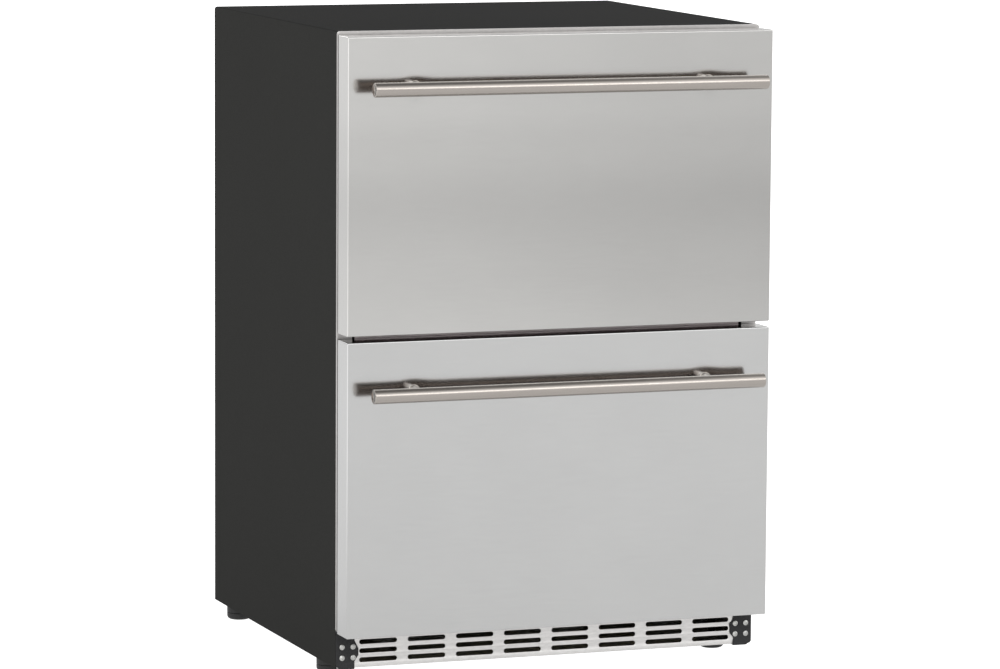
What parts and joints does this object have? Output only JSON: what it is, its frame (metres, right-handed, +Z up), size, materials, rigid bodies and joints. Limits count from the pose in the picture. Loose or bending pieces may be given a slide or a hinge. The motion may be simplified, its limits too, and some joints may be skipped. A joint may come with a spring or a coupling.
{
  "type": "under-counter refrigerator",
  "caption": "Two-drawer under-counter refrigerator with stainless fronts, tubular bar handles, a slotted kick grille, a charcoal cabinet and levelling feet.",
  "frame": {"origin": "floor level, centre of the plan outline (handles included)", "axes": "+Z up, drawers open towards -Y, +X to the right seen from the front"},
  "size_m": [0.597, 0.6424, 0.863],
  "materials": {
    "black_paint": "satin charcoal powder coat",
    "galvanised": "plain galvanised sheet",
    "foam": "rigid polyurethane foam, never seen",
    "liner_white": "smooth white moulding",
    "liner_white_core": "white moulded face over rigid foam",
    "frame_steel": "satin grey steel",
    "stainless": "fine brushed stainless steel",
    "handle_steel": "satin nickel-toned stainless tube",
    "bracket_black": "charcoal powder coat",
    "zinc": "bright zinc plate",
    "compressor_black": "gloss black enamel",
    "aluminium": "bare mill finish",
    "black_plastic": "moulded black",
    "button_grey": "moulded grey",
    "foot_plastic": "moulded black, rounded lower edge",
    "gasket_rubber": "soft grey magnetic seal"
  },
  "bodies": {
    "cabinet": {"cabinet_wrapper": "black_paint", "rear_panel": "galvanised", "foam_core": "foam", "inner_liner": "liner_white", "front_frame": "frame_steel", "mullion": "frame_steel", "base_pan": "galvanised", "kick_grille": "stainless", "bracket_left": "bracket_black", "bracket_right": "bracket_black", "bracket_screw_left_outer_low": "zinc", "bracket_screw_left_outer_high": "zinc", "bracket_screw_left_inner_low": "zinc", "bracket_screw_left_inner_high": "zinc", "bracket_screw_right_outer_low": "zinc", "bracket_screw_right_outer_high": "zinc", "bracket_screw_right_inner_low": "zinc", "bracket_screw_right_inner_high": "zinc", "compressor": "compressor_black", "condenser": "aluminium", "condenser_fan_housing": "black_plastic", "rear_cover": "galvanised", "cord_gland": "black_plastic", "evaporator_cover": "liner_white", "evaporator_coil": "aluminium", "control_panel": "black_plastic", "upper_fixed_rail_left": "zinc", "upper_fixed_rail_right": "zinc", "lower_fixed_rail_left": "zinc", "lower_fixed_rail_right": "zinc"},
    "condenser_fan": {"condenser_fan": "black_plastic"},
    "evaporator_fan": {"evaporator_fan": "black_plastic"},
    "button_colder": {"button_colder": "button_grey"},
    "button_warmer": {"button_warmer": "button_grey"},
    "foot_front_left": {"foot_front_left": "foot_plastic"},
    "foot_front_right": {"foot_front_right": "foot_plastic"},
    "foot_back_left": {"foot_back_left": "foot_plastic"},
    "foot_back_right": {"foot_back_right": "foot_plastic"},
    "upper_middle_rails": {"upper_middle_rail_left": "zinc", "upper_middle_rail_right": "zinc"},
    "lower_middle_rails": {"lower_middle_rail_left": "zinc", "lower_middle_rail_right": "zinc"},
    "upper_drawer": {"upper_front_skin": "stainless", "upper_front_core": "liner_white_core", "upper_gasket": "gasket_rubber", "upper_tub": "stainless", "upper_handle_bar": "handle_steel", "upper_handle_post_left": "handle_steel", "upper_handle_post_right": "handle_steel", "upper_inner_rail_left": "zinc", "upper_inner_rail_right": "zinc"},
    "lower_drawer": {"lower_front_skin": "stainless", "lower_front_core": "liner_white_core", "lower_gasket": "gasket_rubber", "lower_tub": "stainless", "lower_handle_bar": "handle_steel", "lower_handle_post_left": "handle_steel", "lower_handle_post_right": "handle_steel", "lower_inner_rail_left": "zinc", "lower_inner_rail_right": "zinc"}
  },
  "joints": [
    {"name": "upper_drawer_slide", "type": "slide", "parent": "cabinet", "child": "upper_drawer", "axis": [0, -1, 0], "range_m": [0, 0.4]},
    {"name": "upper_middle_rails_slide", "type": "slide", "parent": "cabinet", "child": "upper_middle_rails", "axis": [0, -1, 0], "range_m": [0, 0.2]},
    {"name": "lower_drawer_slide", "type": "slide", "parent": "cabinet", "child": "lower_drawer", "axis": [0, -1, 0], "range_m": [0, 0.4]},
    {"name": "lower_middle_rails_slide", "type": "slide", "parent": "cabinet", "child": "lower_middle_rails", "axis": [0, -1, 0], "range_m": [0, 0.2]},
    {"name": "condenser_fan_spin", "type": "hinge", "parent": "cabinet", "child": "condenser_fan", "pos_m": [0, 0.20825, 0.131], "axis": [1, 0, 0], "continuous": true},
    {"name": "evaporator_fan_spin", "type": "hinge", "parent": "cabinet", "child": "evaporator_fan", "pos_m": [0, 0.23825, 0.637], "axis": [0, 1, 0], "continuous": true},
    {"name": "button_colder_press", "type": "slide", "parent": "cabinet", "child": "button_colder", "axis": [0, 1, 0], "range_m": [0, 0.0012], "stiffness_N_per_m": 800},
    {"name": "button_warmer_press", "type": "slide", "parent": "cabinet", "child": "button_warmer", "axis": [0, 1, 0], "range_m": [0, 0.0012], "stiffness_N_per_m": 800},
    {"name": "foot_front_left_adjust", "type": "slide", "parent": "cabinet", "child": "foot_front_left", "axis": [0, 0, -1], "range_m": [0, 0.02]},
    {"name": "foot_front_right_adjust", "type": "slide", "parent": "cabinet", "child": "foot_front_right", "axis": [0, 0, -1], "range_m": [0, 0.02]},
    {"name": "foot_back_left_adjust", "type": "slide", "parent": "cabinet", "child": "foot_back_left", "axis": [0, 0, -1], "range_m": [0, 0.02]},
    {"name": "foot_back_right_adjust", "type": "slide", "parent": "cabinet", "child": "foot_back_right", "axis": [0, 0, -1], "range_m": [0, 0.02]}
  ],
  "couplings": [
    {"joint": "upper_middle_rails_slide", "follows": "upper_drawer_slide", "ratio": 0.5},
    {"joint": "lower_middle_rails_slide", "follows": "lower_drawer_slide", "ratio": 0.5}
  ]
}
